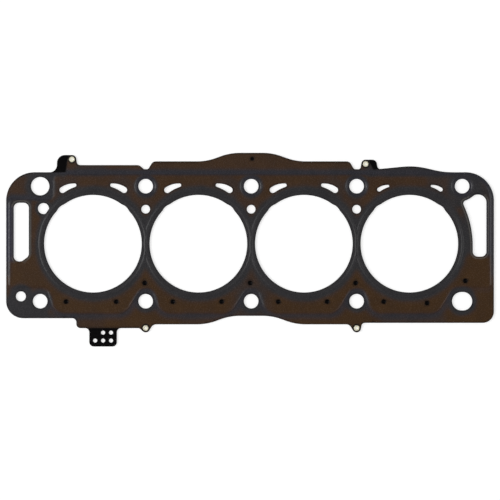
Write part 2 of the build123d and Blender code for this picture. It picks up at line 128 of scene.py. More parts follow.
# Boxes: lowest x and y, highest x and y, the width of the soft border, and the strength.
RUBBED_BOXES = np.array([
    (-216, -8, -196, 36, 5, 1.0), (208, -8, 216, 36, 4, 1.0), (190, -6, 200, 70, 8, 0.9),
    (-216, -75, -182, -50, 7, 1.0), (-182, -75, -156, -64, 5, 0.8), (-156, -80, -134, -66, 8, 0.3),
    (-4, -80, 4, -48, 22, 0.7), (-58, -80, -36, -64, 8, 0.35), (118, -74, 168, -66, 8, 0.55),
    (104, 61, 170, 70, 5, 0.75), (158, 34, 184, 62, 8, 0.55), (-152, 62, -132, 72, 8, 0.5),
    (-216, 61, -166, 66, 5, 0.7), (-101, -18, -85, 20, 6, 0.8), (-8, -18, 8, 20, 6, 0.8),
    (85, -18, 101, 20, 6, 0.8), (-216, 45, 216, 90, 30, 0.15), (-216, 66, 216, 90, 4, 0.12),
    (-216, 40, -196, 66, 6, 0.2), (-10, -44, 10, -24, 8, 0.35), (-216, -46, -180, -16, 8, 0.08),
    (176, 36, 216, 66, 6, 0.7),
])
# The bluish strips outside the two end slots: lowest x and y, highest x and y, and the strength. Then the width of
# their soft border.
STRIP_BOXES = np.array([(-218, -14, -211, 32, 0.8), (207, -10, 210, 36, 0.5)])
STRIP_BORDER = 4

# The field that holds a sheet, along X and along Y.
FIELD_X = (-216, 216)
FIELD_Y = (-92, 84)
# How upright the normal of a CAD face is, at least, on a sheet's upper or lower side and on its flats, and how near
# its height a face of the outer flat lies.
FACING_UPRIGHT = 0.9
FLAT_UPRIGHT = 0.9995
FLAT_NEAR = 0.01
# A line carried through CAD points: two pieces that turn by more than this many degrees meet in a corner. A neighbour
# below the first share of a piece's length gives it no direction, and one above the second gives it the whole.
CORNER_TURN = 27
SHORT_SHARE = 0.4
LONG_SHARE = 2.5
# How many places are set against a line at once, and in how many bands of Y the sheet is taken.
BATCH = 2000
BANDS = 300
# An edge is coded as one number: its start times this, plus its end.
EDGE_CODE = 10_000_000

# How the points of a sheet's mesh lie. Circles round a bore, and the points on each.
BEAD_CIRCLES = [43.6, 44.2, 44.7, *np.arange(45.1, 48.8, 0.3), 49.2, 49.9, 51.0]
BEAD_POINTS = 240
# Rows beside the run's foot, by their distance within it, and rows beside the slots' edges.
RUN_ROWS = np.array([-0.7, -0.3, 0.0, 0.2, 0.4, 0.6, 0.85, 1.1, 1.35, 1.6, 1.8, 2.0, 2.3])
SLOT_ROWS = np.arange(0.45, 2.9, 0.4)
# The foot bends less than a cut edge, so its pieces are this many edge steps long.
FOOT_STEPS = 1.4
# Circles round a rivet, the radii between which the painted shadow ring round its head ends, and the ring's strength.
RIVET_CIRCLES = (3.1, 3.5, 3.9, 4.3)
RIVET_SHADOW_RADII = (3.2, 4.2)
RIVET_SHADOW_STRENGTH = 1.6
# The points on each circle round a rivet or in a dish.
SMALL_POINTS = 24
# The lattice between them, its steps along X and Y, and the cell that holds one point at most.
ACTIVE_STEP = (2.3, 2.0)
ACTIVE_CELL = 0.42
CARRIER_STEP = (4.0, 4.0)
CARRIER_CELL = 0.3
# Faces that meet at more than this many degrees have a sharp edge between them.
SHEET_SHARP = 35
RIVET_SHARP = 50

# Small holes of the upper layer, which the carrier plate closes: x, y. The drill leaves a dish in it under each one,
# with this radius and depth, and points on these circles.
BLIND_HOLES = np.array(
    [(x - 0.9, -34.6) for x in (-93.0, 0.0, 93.0)]
    + [(-163.2, -51.1)] + [(x - 22.6, -51.1) for x in (-46.5, 46.5, 139.5)]
    + [(x + 20.5, -51.1) for x in (-139.5, -46.5, 46.5)]
    + [(155.1, -52.3), (188.8, -32.7)]
)
DISH_R = 2.2
DISH_DEPTH = 0.6
DISH_CIRCLES = np.arange(0, 2.5, 0.35)
# The dish's finish comes in over this depth.
DISH_FINISH = 0.05

EYELETS = [f"eyelet_{i}" for i in range(1, 5)]
RIVETS = np.array([(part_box(name)[0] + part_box(name)[1])[:2] for name in EYELETS]) / 2 / MM
# A rivet's profile: the radii of its bore and its barrel, the flare out of the bore with its width, where it starts
# under the top and how far it rises, and the crown's points as their radius and their depth under the top.
RIVET_BORE_R = 1.0
RIVET_BARREL_R = 1.55
FLARE_WIDTH = 0.45
FLARE_DEPTH = 0.45
FLARE_RISE = 0.42
CROWN = ((1.65, 0.01), (1.9, 0), (2.15, 0.01))
# The lip bends through this share of half a turn and ends this far in from its edge. Painted shade darkens it
# between the two distances from its edge, where it turns under.
LIP_BEND = 0.9
LIP_UNDER = 0.2
LIP_SHADE = (0.6, 0.25)
RIVET_SPOKES = 64

# The middle of a noise texture's values, where nearly all of them lie.
NOISE_SPAN = {"From Min": 0.3, "From Max": 0.7}

# The stage, in metres: the camera's aim, the width that it sees there, and its lens and sensor in millimetres.
AIM = Vector((-1.014, -5.554, 1.7)) * MM
VIEW_WIDTH = 0.44079
LENS = 500
SENSOR = 36
# The floor's radius, sides and height, and the glow that lifts it to plain white where it is seen.
FLOOR_R = 8
FLOOR_SIDES = 96
FLOOR_Z = -0.00002
FLOOR_GLOW = 0.62
# Two long low boxes light the coat, and two far ones stand higher, so that the slopes of the beads catch them: each
# one's name, place, width and length, and power in watts.
LAMPS = (
    ("left", (-2.7, 0.0, 2.4), (1.2, 2.4), 68.0), ("right", (2.6, 0.2, 2.2), (1.2, 2.4), 12.0),
    ("far left", (-4.15, 0.2, 9.9), (2.6, 4.0), 180.0), ("far right", (4.3, 0.2, 9.9), (2.6, 4.0), 85.0),
)


def linear(code):
    """Turns an sRGB hex code into three linear values: below 0.04045 it divides by 12.92, and above it raises
    (c + 0.055) / 1.055 to 2.4."""
    value = np.array([int(code[i : i + 2], 16) for i in (0, 2, 4)]) / 255
    return tuple(np.where(value < 0.04045, value / 12.92, ((value + 0.055) / 1.055) ** 2.4))


# ---------------------------------------------------------------- settings


class GasketSizes(bpy.types.PropertyGroup):
    """Sizes that the visible pieces take beyond the CAD frame."""

    edge_step: bpy.props.FloatProperty(
        name="Edge step", description="Length of the pieces that a cut edge is divided into",
        default=0.8 * MM, min=0.3 * MM, max=3 * MM, subtype="DISTANCE", unit="LENGTH")
    edge_roll: bpy.props.FloatProperty(
        name="Edge roll", description="How far the punch draws a cut edge down on the side it enters",
        default=0.05 * MM, min=0, max=0.2 * MM, subtype="DISTANCE", unit="LENGTH")
    head_height: bpy.props.FloatProperty(
        name="Rivet head height", description="Height of a rivet's rolled head over its sheet",
        default=0.3 * MM, min=0.1 * MM, max=1 * MM, subtype="DISTANCE", unit="LENGTH")


class GasketColours(bpy.types.PropertyGroup):
    """Colours of the finishes."""

    rubber: bpy.props.FloatVectorProperty(
        name="Rubber coat", description="Brown elastomer coat as sprayed", size=3,
        default=linear("3c2b20"), min=0, max=1, subtype="COLOR")
    thick: bpy.props.FloatVectorProperty(
        name="Thick coat", description="Yellower brown where the coat lies thickest", size=3,
        default=linear("3e2a16"), min=0, max=1, subtype="COLOR")
    worn: bpy.props.FloatVectorProperty(
        name="Rubbed coat", description="Grey tone where the press tool rubbed the coat", size=3,
        default=linear("2e2d2f"), min=0, max=1, subtype="COLOR")
    band: bpy.props.FloatVectorProperty(
        name="Bluish band", description="Bluish tone of the coat along the run and in the end strips", size=3,
        default=linear("2b2a38"), min=0, max=1, subtype="COLOR")
    # Painted highlight: this paler tone stands in for light catching the line round the end slots.
    line: bpy.props.FloatVectorProperty(
        name="Slot line", description="Paler tone of the coat polished on the line round the end slots", size=3,
        default=linear("5c5954"), min=0, max=1, subtype="COLOR")
    carrier: bpy.props.FloatVectorProperty(
        name="Carrier coat", description="Black coat of the carrier plate", size=3,
        default=linear("080708"), min=0, max=1, subtype="COLOR")
    plating: bpy.props.FloatVectorProperty(
        name="Rivet plating", description="Pale yellow plating of the rivets", size=3,
        default=linear("f4f0d8"), min=0, max=1, subtype="COLOR")
    floor: bpy.props.FloatVectorProperty(
        name="Floor", description="Plain pale floor", size=3,
        default=linear("bcbcbc"), min=0, max=1, subtype="COLOR")


# ---------------------------------------------------------------- materials


def add(tree, kind, inputs=None, **settings):
    """Adds a node, sets its properties, and gives each input a value or another node's output."""
    made = tree.nodes.new(kind)
    for name, value in settings.items():
        setattr(made, name, value)
    for key, value in (inputs or {}).items():
        if isinstance(value, bpy.types.NodeSocket):
            tree.links.new(value, made.inputs[key])
        else:
            made.inputs[key].default_value = value
    return made


def new_material(name):
    """An empty node material with its output."""
    material = bpy.data.materials.new(name)
    material.use_nodes = True
    material.node_tree.nodes.clear()
    return material, material.node_tree


def coated_steel(colours):
    """Elastomer-coated spring steel: a thin sprayed nitrile rubber coat, brown and satin, which the press tool rubs
    to grey round the bores and bolt holes. The rubber gives soft grain 0.8 mm across, drawn coarser than its real
    0.1 mm so that it shows."""
    material, tree = new_material("Elastomer coated spring steel")
    place = add(tree, "ShaderNodeTexCoord").outputs["Object"]
    # Blotches about 12 mm across, as the coat varies in thickness.
    blotch = add(tree, "ShaderNodeTexNoise", {"Vector": place, "Scale": 1 / 0.012, "Detail": 4.0, "Roughness": 0.6})
    # Grain about 0.8 mm across.
    grain = add(tree, "ShaderNodeTexNoise", {"Vector": place, "Scale": 1 / 0.0008, "Detail": 2.0, "Roughness": 0.5})
    depth, band, line, rim = (
        add(tree, "ShaderNodeAttribute", attribute_name=name).outputs["Fac"]
        for name in ("depth", "band", "line", "rim"))

    uneven = add(tree, "ShaderNodeMath", {0: blotch.outputs["Fac"], 1: 0.36, 2: -0.18}, operation="MULTIPLY_ADD")
    cover = add(tree, "ShaderNodeMath", {0: depth, 1: uneven.outputs[0]}, operation="ADD")
    thin = add(tree, "ShaderNodeMapRange", {"Value": cover.outputs[0], "From Min": 0.05, "From Max": 0.6})
    full = add(tree, "ShaderNodeMapRange", {"Value": cover.outputs[0], "From Min": 0.6, "From Max": 1.0})
    # The coat turns from grey through brown to its thickest tone, and then takes the bluish band and the slots' line,
    # whose paler tone is a painted highlight.
    worn, rubber, thick, bluish, pale, black = (
        (*colour, 1) for colour in (
            colours.worn, colours.rubber, colours.thick, colours.band, colours.line, colours.carrier))
    browned = add(tree, "ShaderNodeMix", {0: thin.outputs[0], 6: worn, 7: rubber}, data_type="RGBA")
    base = add(tree, "ShaderNodeMix", {0: full.outputs[0], 6: browned.outputs[2], 7: thick}, data_type="RGBA")
    toned = add(tree, "ShaderNodeMix", {0: band, 6: base.outputs[2], 7: bluish}, data_type="RGBA")
    # Painted highlight: the line round the end slots is painted paler.
    slot_highlighted = add(tree, "ShaderNodeMix", {0: line, 6: toned.outputs[2], 7: pale}, data_type="RGBA")
    # Painted shade: a dark line along every cut edge, where the face turns down, and a painted shadow ring round each
    # rivet's head.
    painted_edge_shade = add(tree, "ShaderNodeMath", {0: rim, 1: 0.6}, operation="MULTIPLY")
    edge_shaded = add(tree, "ShaderNodeMix", {0: painted_edge_shade.outputs[0], 6: slot_highlighted.outputs[2], 7: black}, data_type="RGBA")
    tint = add(tree, "ShaderNodeMapRange", {
        **NOISE_SPAN, "Value": blotch.outputs["Fac"], "To Min": 0.9, "To Max": 1.1})
    speck = add(tree, "ShaderNodeMapRange", {
        **NOISE_SPAN, "Value": grain.outputs["Fac"], "To Min": 0.93, "To Max": 1.07})
    shade = add(tree, "ShaderNodeMath", {0: tint.outputs[0], 1: speck.outputs[0]}, operation="MULTIPLY")
    colour = add(tree, "ShaderNodeVectorMath", {0: edge_shaded.outputs[2], "Scale": shade.outputs[0]}, operation="SCALE")
    rough = add(tree, "ShaderNodeMapRange", {
        **NOISE_SPAN, "Value": grain.outputs["Fac"], "To Min": 0.24, "To Max": 0.29})
    bump = add(tree, "ShaderNodeBump", {"Height": grain.outputs["Fac"], "Strength": 0.12, "Distance": 0.00004})
    shader = add(tree, "ShaderNodeBsdfPrincipled", {
        "Base Color": colour.outputs[0], "Roughness": rough.outputs[0], "Normal": bump.outputs[0],
        "Specular IOR Level": 0.22})
    add(tree, "ShaderNodeOutputMaterial", {"Surface": shader.outputs[0]})
    return material


def black_coat(colours):
    """Black-coated cold-rolled steel: a smooth baked coat over a thick plate, with a faint rolled grain 1.2 mm apart
    along X, drawn coarser than its real 0.2 mm so that it shows."""
    material, tree = new_material("Black coated carrier steel")
    place = add(tree, "ShaderNodeTexCoord").outputs["Object"]
    along = add(tree, "ShaderNodeMapping", {"Vector": place, "Scale": (0.06, 1.0, 1.0)})
    grain = add(tree, "ShaderNodeTexNoise", {"Vector": along.outputs[0], "Scale": 1 / 0.0012, "Detail": 3.0})
    shade = add(tree, "ShaderNodeMapRange", {
        **NOISE_SPAN, "Value": grain.outputs["Fac"], "To Min": 0.75, "To Max": 1.25})
    tint = add(tree, "ShaderNodeVectorMath", {0: colours.carrier, "Scale": shade.outputs[0]}, operation="SCALE")
    rough = add(tree, "ShaderNodeMapRange", {
        **NOISE_SPAN, "Value": grain.outputs["Fac"], "To Min": 0.4, "To Max": 0.55})
    # The drill leaves the small dishes under the blind holes smoother than the rolled face.
    dish = add(tree, "ShaderNodeAttribute", attribute_name="dish")
    finish = add(tree, "ShaderNodeMix", {"Factor": dish.outputs["Fac"], "A": rough.outputs[0], "B": 0.25})
    bump = add(tree, "ShaderNodeBump", {"Height": grain.outputs["Fac"], "Strength": 0.15, "Distance": 0.00003})
    shader = add(tree, "ShaderNodeBsdfPrincipled", {
        "Base Color": tint.outputs[0], "Roughness": finish.outputs[0], "Normal": bump.outputs[0],
        "Specular IOR Level": 0.03})
    add(tree, "ShaderNodeOutputMaterial", {"Surface": shader.outputs[0]})
    return material


def sheared_edge():
    """The sheared edge of coated steel: bare grey steel with the coat's dark streaks, drawn up and down every 0.3 mm
    by the punch."""
    material, tree = new_material("Sheared steel edge")
    place = add(tree, "ShaderNodeTexCoord").outputs["Object"]
    upright = add(tree, "ShaderNodeMapping", {"Vector": place, "Scale": (1.0, 1.0, 0.1)})
    streak = add(tree, "ShaderNodeTexNoise", {"Vector": upright.outputs[0], "Scale": 1 / 0.0003, "Detail": 2.0})
    colour = add(tree, "ShaderNodeValToRGB", {"Fac": streak.outputs["Fac"]})
    colour.color_ramp.elements[0].position, colour.color_ramp.elements[0].color = 0.35, (*linear("2a2624"), 1)
    colour.color_ramp.elements[1].position, colour.color_ramp.elements[1].color = 0.7, (*linear("7d7a77"), 1)
    shader = add(tree, "ShaderNodeBsdfPrincipled", {
        "Base Color": colour.outputs[0], "Roughness": 0.45, "Metallic": 0.6})
    add(tree, "ShaderNodeOutputMaterial", {"Surface": shader.outputs[0]})
    return material


def spring_steel():
    """Bare cold-rolled stainless spring strip: bright grey metal with a fine roll grain, 0.4 mm apart, along X."""
    material, tree = new_material("Bare stainless spring steel")
    place = add(tree, "ShaderNodeTexCoord").outputs["Object"]
    along = add(tree, "ShaderNodeMapping", {"Vector": place, "Scale": (0.05, 1.0, 1.0)})
    grain = add(tree, "ShaderNodeTexNoise", {"Vector": along.outputs[0], "Scale": 1 / 0.0004, "Detail": 2.0})
    rough = add(tree, "ShaderNodeMapRange", {"Value": grain.outputs["Fac"], "To Min": 0.25, "To Max": 0.45})
    shader = add(tree, "ShaderNodeBsdfPrincipled", {
        "Base Color": (*linear("b9b8b4"), 1), "Roughness": rough.outputs[0], "Metallic": 1.0})
    add(tree, "ShaderNodeOutputMaterial", {"Surface": shader.outputs[0]})
    return material


def plated_steel(colours):
    """Zinc-plated steel with a pale yellow passivate: satin and cloudy every 0.7 mm, with painted shade darkening the
    rolled lip's outer edge where it turns under. The passivate is a salt layer that hides most of the metal, so it
    counts as a third metallic."""
    material, tree = new_material("Yellow passivated zinc plate")
    place = add(tree, "ShaderNodeTexCoord").outputs["Object"]
    cloud = add(tree, "ShaderNodeTexNoise", {"Vector": place, "Scale": 1 / 0.0007, "Detail": 3.0})
    rough = add(tree, "ShaderNodeMapRange", {"Value": cloud.outputs["Fac"], "To Min": 0.3, "To Max": 0.55})
    lip = add(tree, "ShaderNodeAttribute", attribute_name="lip")
    cloudy = add(tree, "ShaderNodeMapRange", {
        "Value": cloud.outputs["Fac"], "From Min": 0.4, "From Max": 0.75, "To Min": 0.0, "To Max": 0.45})
    clouded = add(tree, "ShaderNodeMix", {
        0: cloudy.outputs[0], 6: (*colours.plating, 1), 7: (*linear("b4ad8c"), 1)}, data_type="RGBA")
    # Painted shade: the lip's outer edge is darkened where it turns under.
    colour = add(tree, "ShaderNodeMix", {
        0: lip.outputs["Fac"], 6: clouded.outputs[2], 7: (*linear("3a3728"), 1)}, data_type="RGBA")
    shader = add(tree, "ShaderNodeBsdfPrincipled", {
        "Base Color": colour.outputs[2], "Roughness": rough.outputs[0], "Metallic": 0.33})
    add(tree, "ShaderNodeOutputMaterial", {"Surface": shader.outputs[0]})
    return material


# ---------------------------------------------------------------- surfaces


def smooth_ramp(value, low, high):
    """A smooth step: with t the share of the way from low to high, kept within 0 and 1, it gives 3 t squared less
    2 t cubed."""
    t = np.clip((value - low) / (high - low), 0, 1)
    return t * t * (3 - 2 * t)


def facing_skin(name, side):
    """The faces of a CAD sheet that look up (side 1) or down (side -1), as points in millimetres, triangles that turn
    counterclockwise seen from above, and how upright each one's normal is. They come from a merged copy, and the CAD
    mesh is left as it is."""
    work = bmesh.new()
    work.from_mesh(frame["nodes"][name].data)
    bmesh.ops.remove_doubles(work, verts=work.verts, dist=1e-6)
    bmesh.ops.triangulate(work, faces=work.faces)
    mesh = bpy.data.meshes.new("merged copy")
    work.to_mesh(mesh)
    work.free()
    points = np.empty(len(mesh.vertices) * 3)
    mesh.vertices.foreach_get("co", points)
    points = points.reshape(-1, 3) / MM
    triangles = np.empty(len(mesh.polygons) * 3, int)
    mesh.polygons.foreach_get("vertices", triangles)
    triangles = triangles.reshape(-1, 3)
    bpy.data.meshes.remove(mesh)
    a, b, c = (points[triangles[:, i]] for i in range(3))
    normals = np.cross(b - a, c - a)
    upright = normals[:, 2] / np.maximum(np.linalg.norm(normals, axis=1), 1e-12)
    keep = upright * side > FACING_UPRIGHT
    triangles, upright = triangles[keep], np.abs(upright[keep])
    if side < 0:
        triangles = triangles[:, ::-1]
    return points, triangles, upright


def open_edges(triangles, other=None):
    """Directed edges of the triangles with no twin running back along them, or, with other given, with a twin among
    other's edges."""
    def coded(faces, back=False):
        """Each directed edge of the faces as one number."""
        start, end = faces.ravel(), np.roll(faces, -1, axis=1).ravel()
        return end * EDGE_CODE + start if back else start * EDGE_CODE + end

    own = coded(triangles)
    if other is None:
        found = own[~np.isin(own, coded(triangles, back=True))]
    else:
        found = own[np.isin(own, coded(other, back=True))]
    return np.stack([found // EDGE_CODE, found % EDGE_CODE], axis=1)


def smooth_edges(points, edges, step):
    """Carries a smooth line through chains of CAD points. Between two points it is a cubic whose tangents at the ends
    are the mean of the directions before and after, or the longer neighbour's where one is a long straight, or the
    edge's own at a corner. Each cubic is divided into pieces of about one step. Gives the new points and the links
    between them."""
    start, end = edges.T
    chord = points[end] - points[start]
    length = np.linalg.norm(chord, axis=1)
    unit = chord / length[:, None]
    count = len(points)
    coming, going = np.full(count, -1), np.full(count, -1)
    coming[end], going[start] = np.arange(len(edges)), np.arange(len(edges))

    def tangent(edge, neighbour):
        """The direction of the line at an edge's end, from its neighbour there."""
        alone = neighbour < 0
        near = np.where(alone, edge, neighbour)
        turn = (unit[edge] * unit[near]).sum(1)
        ratio = length[near] / length[edge]
        mean = unit[edge] + unit[near]
        mean /= np.maximum(np.linalg.norm(mean, axis=1), 1e-9)[:, None]
        own = alone | (turn < math.cos(math.radians(CORNER_TURN))) | (ratio < SHORT_SHARE)
        other = ~own & (ratio > LONG_SHARE)
        return np.where(own[:, None], unit[edge], np.where(other[:, None], unit[near], mean))

    index = np.arange(len(edges))
    leave = tangent(index, coming[start]) * length[:, None]
    arrive = tangent(index, going[end]) * length[:, None]
    pieces = np.maximum(np.ceil(length / step).astype(int), 1)
    first = np.concatenate([[0], np.cumsum(pieces)[:-1]])
    edge = np.repeat(index, pieces)
    t = ((np.arange(pieces.sum()) - first[edge]) / pieces[edge])[:, None]
    made = (
        (2 * t**3 - 3 * t**2 + 1) * points[start[edge]] + (t**3 - 2 * t**2 + t) * leave[edge]
        + (3 * t**2 - 2 * t**3) * points[end[edge]] + (t**3 - t**2) * arrive[edge]
    )
    link = np.arange(len(made)) + 1
    last = first + pieces - 1
    closed = going[end] >= 0
    link[last[closed]] = first[going[end[closed]]]
    loose = np.flatnonzero(~closed)
    link[last[loose]] = len(made) + np.arange(len(loose))
    made = np.concatenate([made, points[end[loose]]])
    return made, np.stack([np.arange(len(link)), link], axis=1)


def foot_distance(places, line, links):
    """Signed distance of each place to a line of links: positive on the line's right. It takes the nearest point of
    every link, kept between the link's ends, and the sign of the cross product there."""
    start, run = line[links[:, 0]], line[links[:, 1]] - line[links[:, 0]]
    square = np.maximum((run**2).sum(1), 1e-12)
    found = np.empty(len(places))
    for low in range(0, len(places), BATCH):
        part = places[low : low + BATCH, None, :] - start[None]
        share = np.clip((part * run[None]).sum(2) / square, 0, 1)
        gap = part - share[..., None] * run[None]
        near = (gap**2).sum(2)
        best = near.argmin(1)
        rows = np.arange(len(best))
        cross = run[best, 0] * part[rows, best, 1] - run[best, 1] * part[rows, best, 0]
        found[low : low + BATCH] = np.sqrt(near[rows, best]) * np.where(cross > 0, -1, 1)
    return found


def within(places, line, links):
    """Whether each place lies in the sheet: it counts the rim links that a ray towards +X crosses, and an odd count
    is inside. The places are taken in bands of Y, each against the links that reach its band."""
    start, end = line[links[:, 0]], line[links[:, 1]]
    low, high = np.minimum(start[:, 1], end[:, 1]), np.maximum(start[:, 1], end[:, 1])
    odd = np.zeros(len(places), bool)
    for band in np.array_split(np.argsort(places[:, 1]), BANDS):
        x, y = places[band, 0][:, None], places[band, 1][:, None]
        near = (low <= y[-1]) & (high >= y[0]) & (high > low)
        one, two = start[near], end[near]
        spans = (one[:, 1] > y) != (two[:, 1] > y)
        meets = one[:, 0] + (y - one[:, 1]) * (two[:, 0] - one[:, 0]) / (two[:, 1] - one[:, 1])
        odd[band] = (spans & (meets > x)).sum(1) % 2 == 1
    return odd


def thin_out(groups, cell, even=()):
    """Keeps the first group of points whole and from each later one those whose cell, and the eight round it, no
    earlier group has taken, with one point to a cell, except in the groups whose own spacing is even."""
    low = np.min([group.min(0) for group in groups], axis=0) - 3 * cell
    high = np.max([group.max(0) for group in groups], axis=0) + 3 * cell
    taken = np.zeros(np.ceil((high - low) / cell).astype(int) + 1, bool)
    kept = []
    for number, group in enumerate(groups):
        spot = np.floor((group - low) / cell).astype(int)
        if number:
            free = np.flatnonzero(~taken[spot[:, 0], spot[:, 1]])
            if number not in even:
                _, single = np.unique(np.ravel_multi_index(spot[free].T, taken.shape), return_index=True)
                free = free[single]
            group, spot = group[free], spot[free]
        for dx in (-1, 0, 1):
            for dy in (-1, 0, 1):
                taken[spot[:, 0] + dx, spot[:, 1] + dy] = True
        kept.append(group)
    return np.concatenate(kept)


def circle_points(radii, count):
    """Points evenly spaced on circles round the origin, each second circle turned by half a step: radius times cosine
    and sine."""
    radii = np.asarray(radii, float)[:, None]
    angle = (np.arange(count)[None] + 0.5 * (np.arange(len(radii)) % 2)[:, None]) * 2 * np.pi / count
    return np.stack([radii * np.cos(angle), radii * np.sin(angle)], axis=2).reshape(-1, 2)


def lattice(step, shift=0.0):
    """Points in rows over the whole field, a step apart along X and Y, each second row moved along X by the shift."""
    x, y = np.meshgrid(np.arange(*FIELD_X, step[0]), np.arange(*FIELD_Y, step[1]))
    x = x + shift * (np.arange(len(x)) % 2)[:, None]
    return np.column_stack([x.ravel(), y.ravel()])


def bore_rings():
    """Points on circles round every bore, closer on the bead's flanks, each kept to its own half of the webs."""
    ring = circle_points(BEAD_CIRCLES, BEAD_POINTS)
    places = (ring[None] + BORES[:, None]).reshape(-1, 2)
    own = np.repeat(np.arange(len(BORES)), len(ring))
    distance = np.linalg.norm(places[:, None] - BORES[None], axis=2)
    return places[distance.argmin(1) == own]


def sheet_mesh(name, rim, links, inner, heights):
    """Fills a sheet's outline with triangles through the given inner points and opens its holes. The function
    heights works out the upper and lower face for all points at once, and the layers that the materials read. Walls
    along every rim join the two faces."""
    places = np.concatenate([rim, inner[within(inner, rim, links)]])
    # Its output type 1 gives the triangles within the outermost links, and points nearer than the last value merge.
    corners, _, faces, *_ = delaunay_2d_cdt([Vector(p) for p in places.tolist()], links.tolist(), [], 1, 1e-5)
    places = np.array(corners)
    faces = np.array(faces)
    faces = faces[within(places[faces].mean(1), rim, links)]
    a, b, c = (places[faces[:, i]] for i in range(3))
    area = (b[:, 0] - a[:, 0]) * (c[:, 1] - a[:, 1]) - (b[:, 1] - a[:, 1]) * (c[:, 0] - a[:, 0])
    faces = np.where(area[:, None] < 0, faces[:, ::-1], faces)
    used, faces = np.unique(faces, return_inverse=True)
    places, faces = places[used], faces.reshape(-1, 3)
    border = open_edges(faces)
    at_rim = np.zeros(len(places))
    at_rim[border.ravel()] = 1
    upper, lower, layers = heights(places, at_rim)
    count = len(places)
    points = np.concatenate([np.column_stack([places, upper]), np.column_stack([places, lower])]) * MM
    walls = np.stack([border[:, 0] + count, border[:, 1] + count, border[:, 1], border[:, 0]], axis=1)
    mesh = bpy.data.meshes.new(name)
    mesh.from_pydata(points, [], faces.tolist() + (faces[:, ::-1] + count).tolist() + walls.tolist())
    for label, values in layers.items():
        attribute = mesh.attributes.new(label, "FLOAT", "POINT")
        attribute.data.foreach_set("value", np.concatenate([values, values]).astype(np.float32))
    slots = np.zeros(len(mesh.polygons), np.int32)
    slots[2 * len(faces):] = 1
    mesh.polygons.foreach_set("material_index", slots)
    mesh.polygons.foreach_set("use_smooth", np.ones(len(slots), bool))
    mesh.set_sharp_from_angle(angle=math.radians(SHEET_SHARP))
    mesh.validate()
    return mesh


def place_piece(name, mesh, slot, stands_for, *materials):
    """Links a finished mesh as an object at the origin that rides on the root body and stands for its CAD node."""
    piece = bpy.data.objects.new(name, mesh)
    bpy.context.scene.collection.objects.link(piece)
    for material in materials:
        mesh.materials.append(material)
    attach(piece, "root")
    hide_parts(stands_for)
    return piece


def ridge(distance, flank):
    """A rounded ridge, 1 at its crest line and 0 beyond a flank's width: 1 less a smooth step of the distance from
    the line."""
    return 1 - smooth_ramp(np.abs(distance), 0, flank)


def full_bead(places):
    """The full bead round each bore, 0 to 1: a ridge over the distance from its crest circle, taken as the larger
    where two bores' beads meet."""
    r = np.linalg.norm(places[:, None] - BORES[None], axis=2)
    return ridge(r - BEAD_CREST_R, BEAD_FLANK).max(1)


def box_gap(places, boxes):
    """How far each place lies outside each box: the length of what it is beyond the box's sides."""
    outside = np.maximum(np.maximum(boxes[:, :2] - places[:, None], places[:, None] - boxes[:, 2:4]), 0)
    return np.linalg.norm(outside, axis=2)


def coat_depth(places, from_run):
    """How thick the brown coat is left at each place, 0 to 1. It starts at 1 and is multiplied by 1 less the strength
    of each zone that the press tool rubbed: in the circles it eases off between two radii, in the boxes over a soft
    border, and along the run as the bluish band does."""
    near, far, strength = RUBBED_CIRCLES[:, 2:].T
    distance = np.linalg.norm(places[:, None] - RUBBED_CIRCLES[:, :2], axis=2)
    round_zones = strength * (1 - smooth_ramp(distance, near, far))
    square_zones = RUBBED_BOXES[:, 5] * (1 - smooth_ramp(box_gap(places, RUBBED_BOXES), 0, RUBBED_BOXES[:, 4]))
    return (1 - round_zones).prod(1) * (1 - square_zones).prod(1) * (1 - run_tone(from_run, places))


def run_tone(from_run, places):
    """The bluish band along the run, 0 to 1: a smooth step down with the distance from its middle, a third wider
    outside, and fainter along the lower edge and at its two end corners, where the tool pressed less."""
    gap = np.where(from_run > 0, from_run, -TONE_OUTSIDE * from_run)
    x, y = np.abs(places[:, 0]), places[:, 1]
    strength = TONE_LOW + (1 - TONE_LOW) * smooth_ramp(y, *TONE_RISE_Y)
    corner = smooth_ramp(x, *TONE_CORNER_X) * (1 - smooth_ramp(np.abs(y - TONE_CORNER_Y), *TONE_CORNER_REACH))
    return strength * (1 - TONE_CORNER_LOSS * corner) * (1 - smooth_ramp(gap, *TONE_REACH))


def run_shift(places):
    """How far the run lies outside the CAD sheet's foot line: RUN_SHIFT along both ends, and a smooth step down to
    nothing towards the middle."""
    return RUN_SHIFT * smooth_ramp(np.abs(places[..., 0]), *RUN_SHIFT_X)


def strip_tone(places):
    """The bluish strips outside the two end slots, 0 to 1: the box's strength in it, easing off over the border."""
    return (STRIP_BOXES[:, 4] * (1 - smooth_ramp(box_gap(places, STRIP_BOXES), 0, STRIP_BORDER))).max(1)


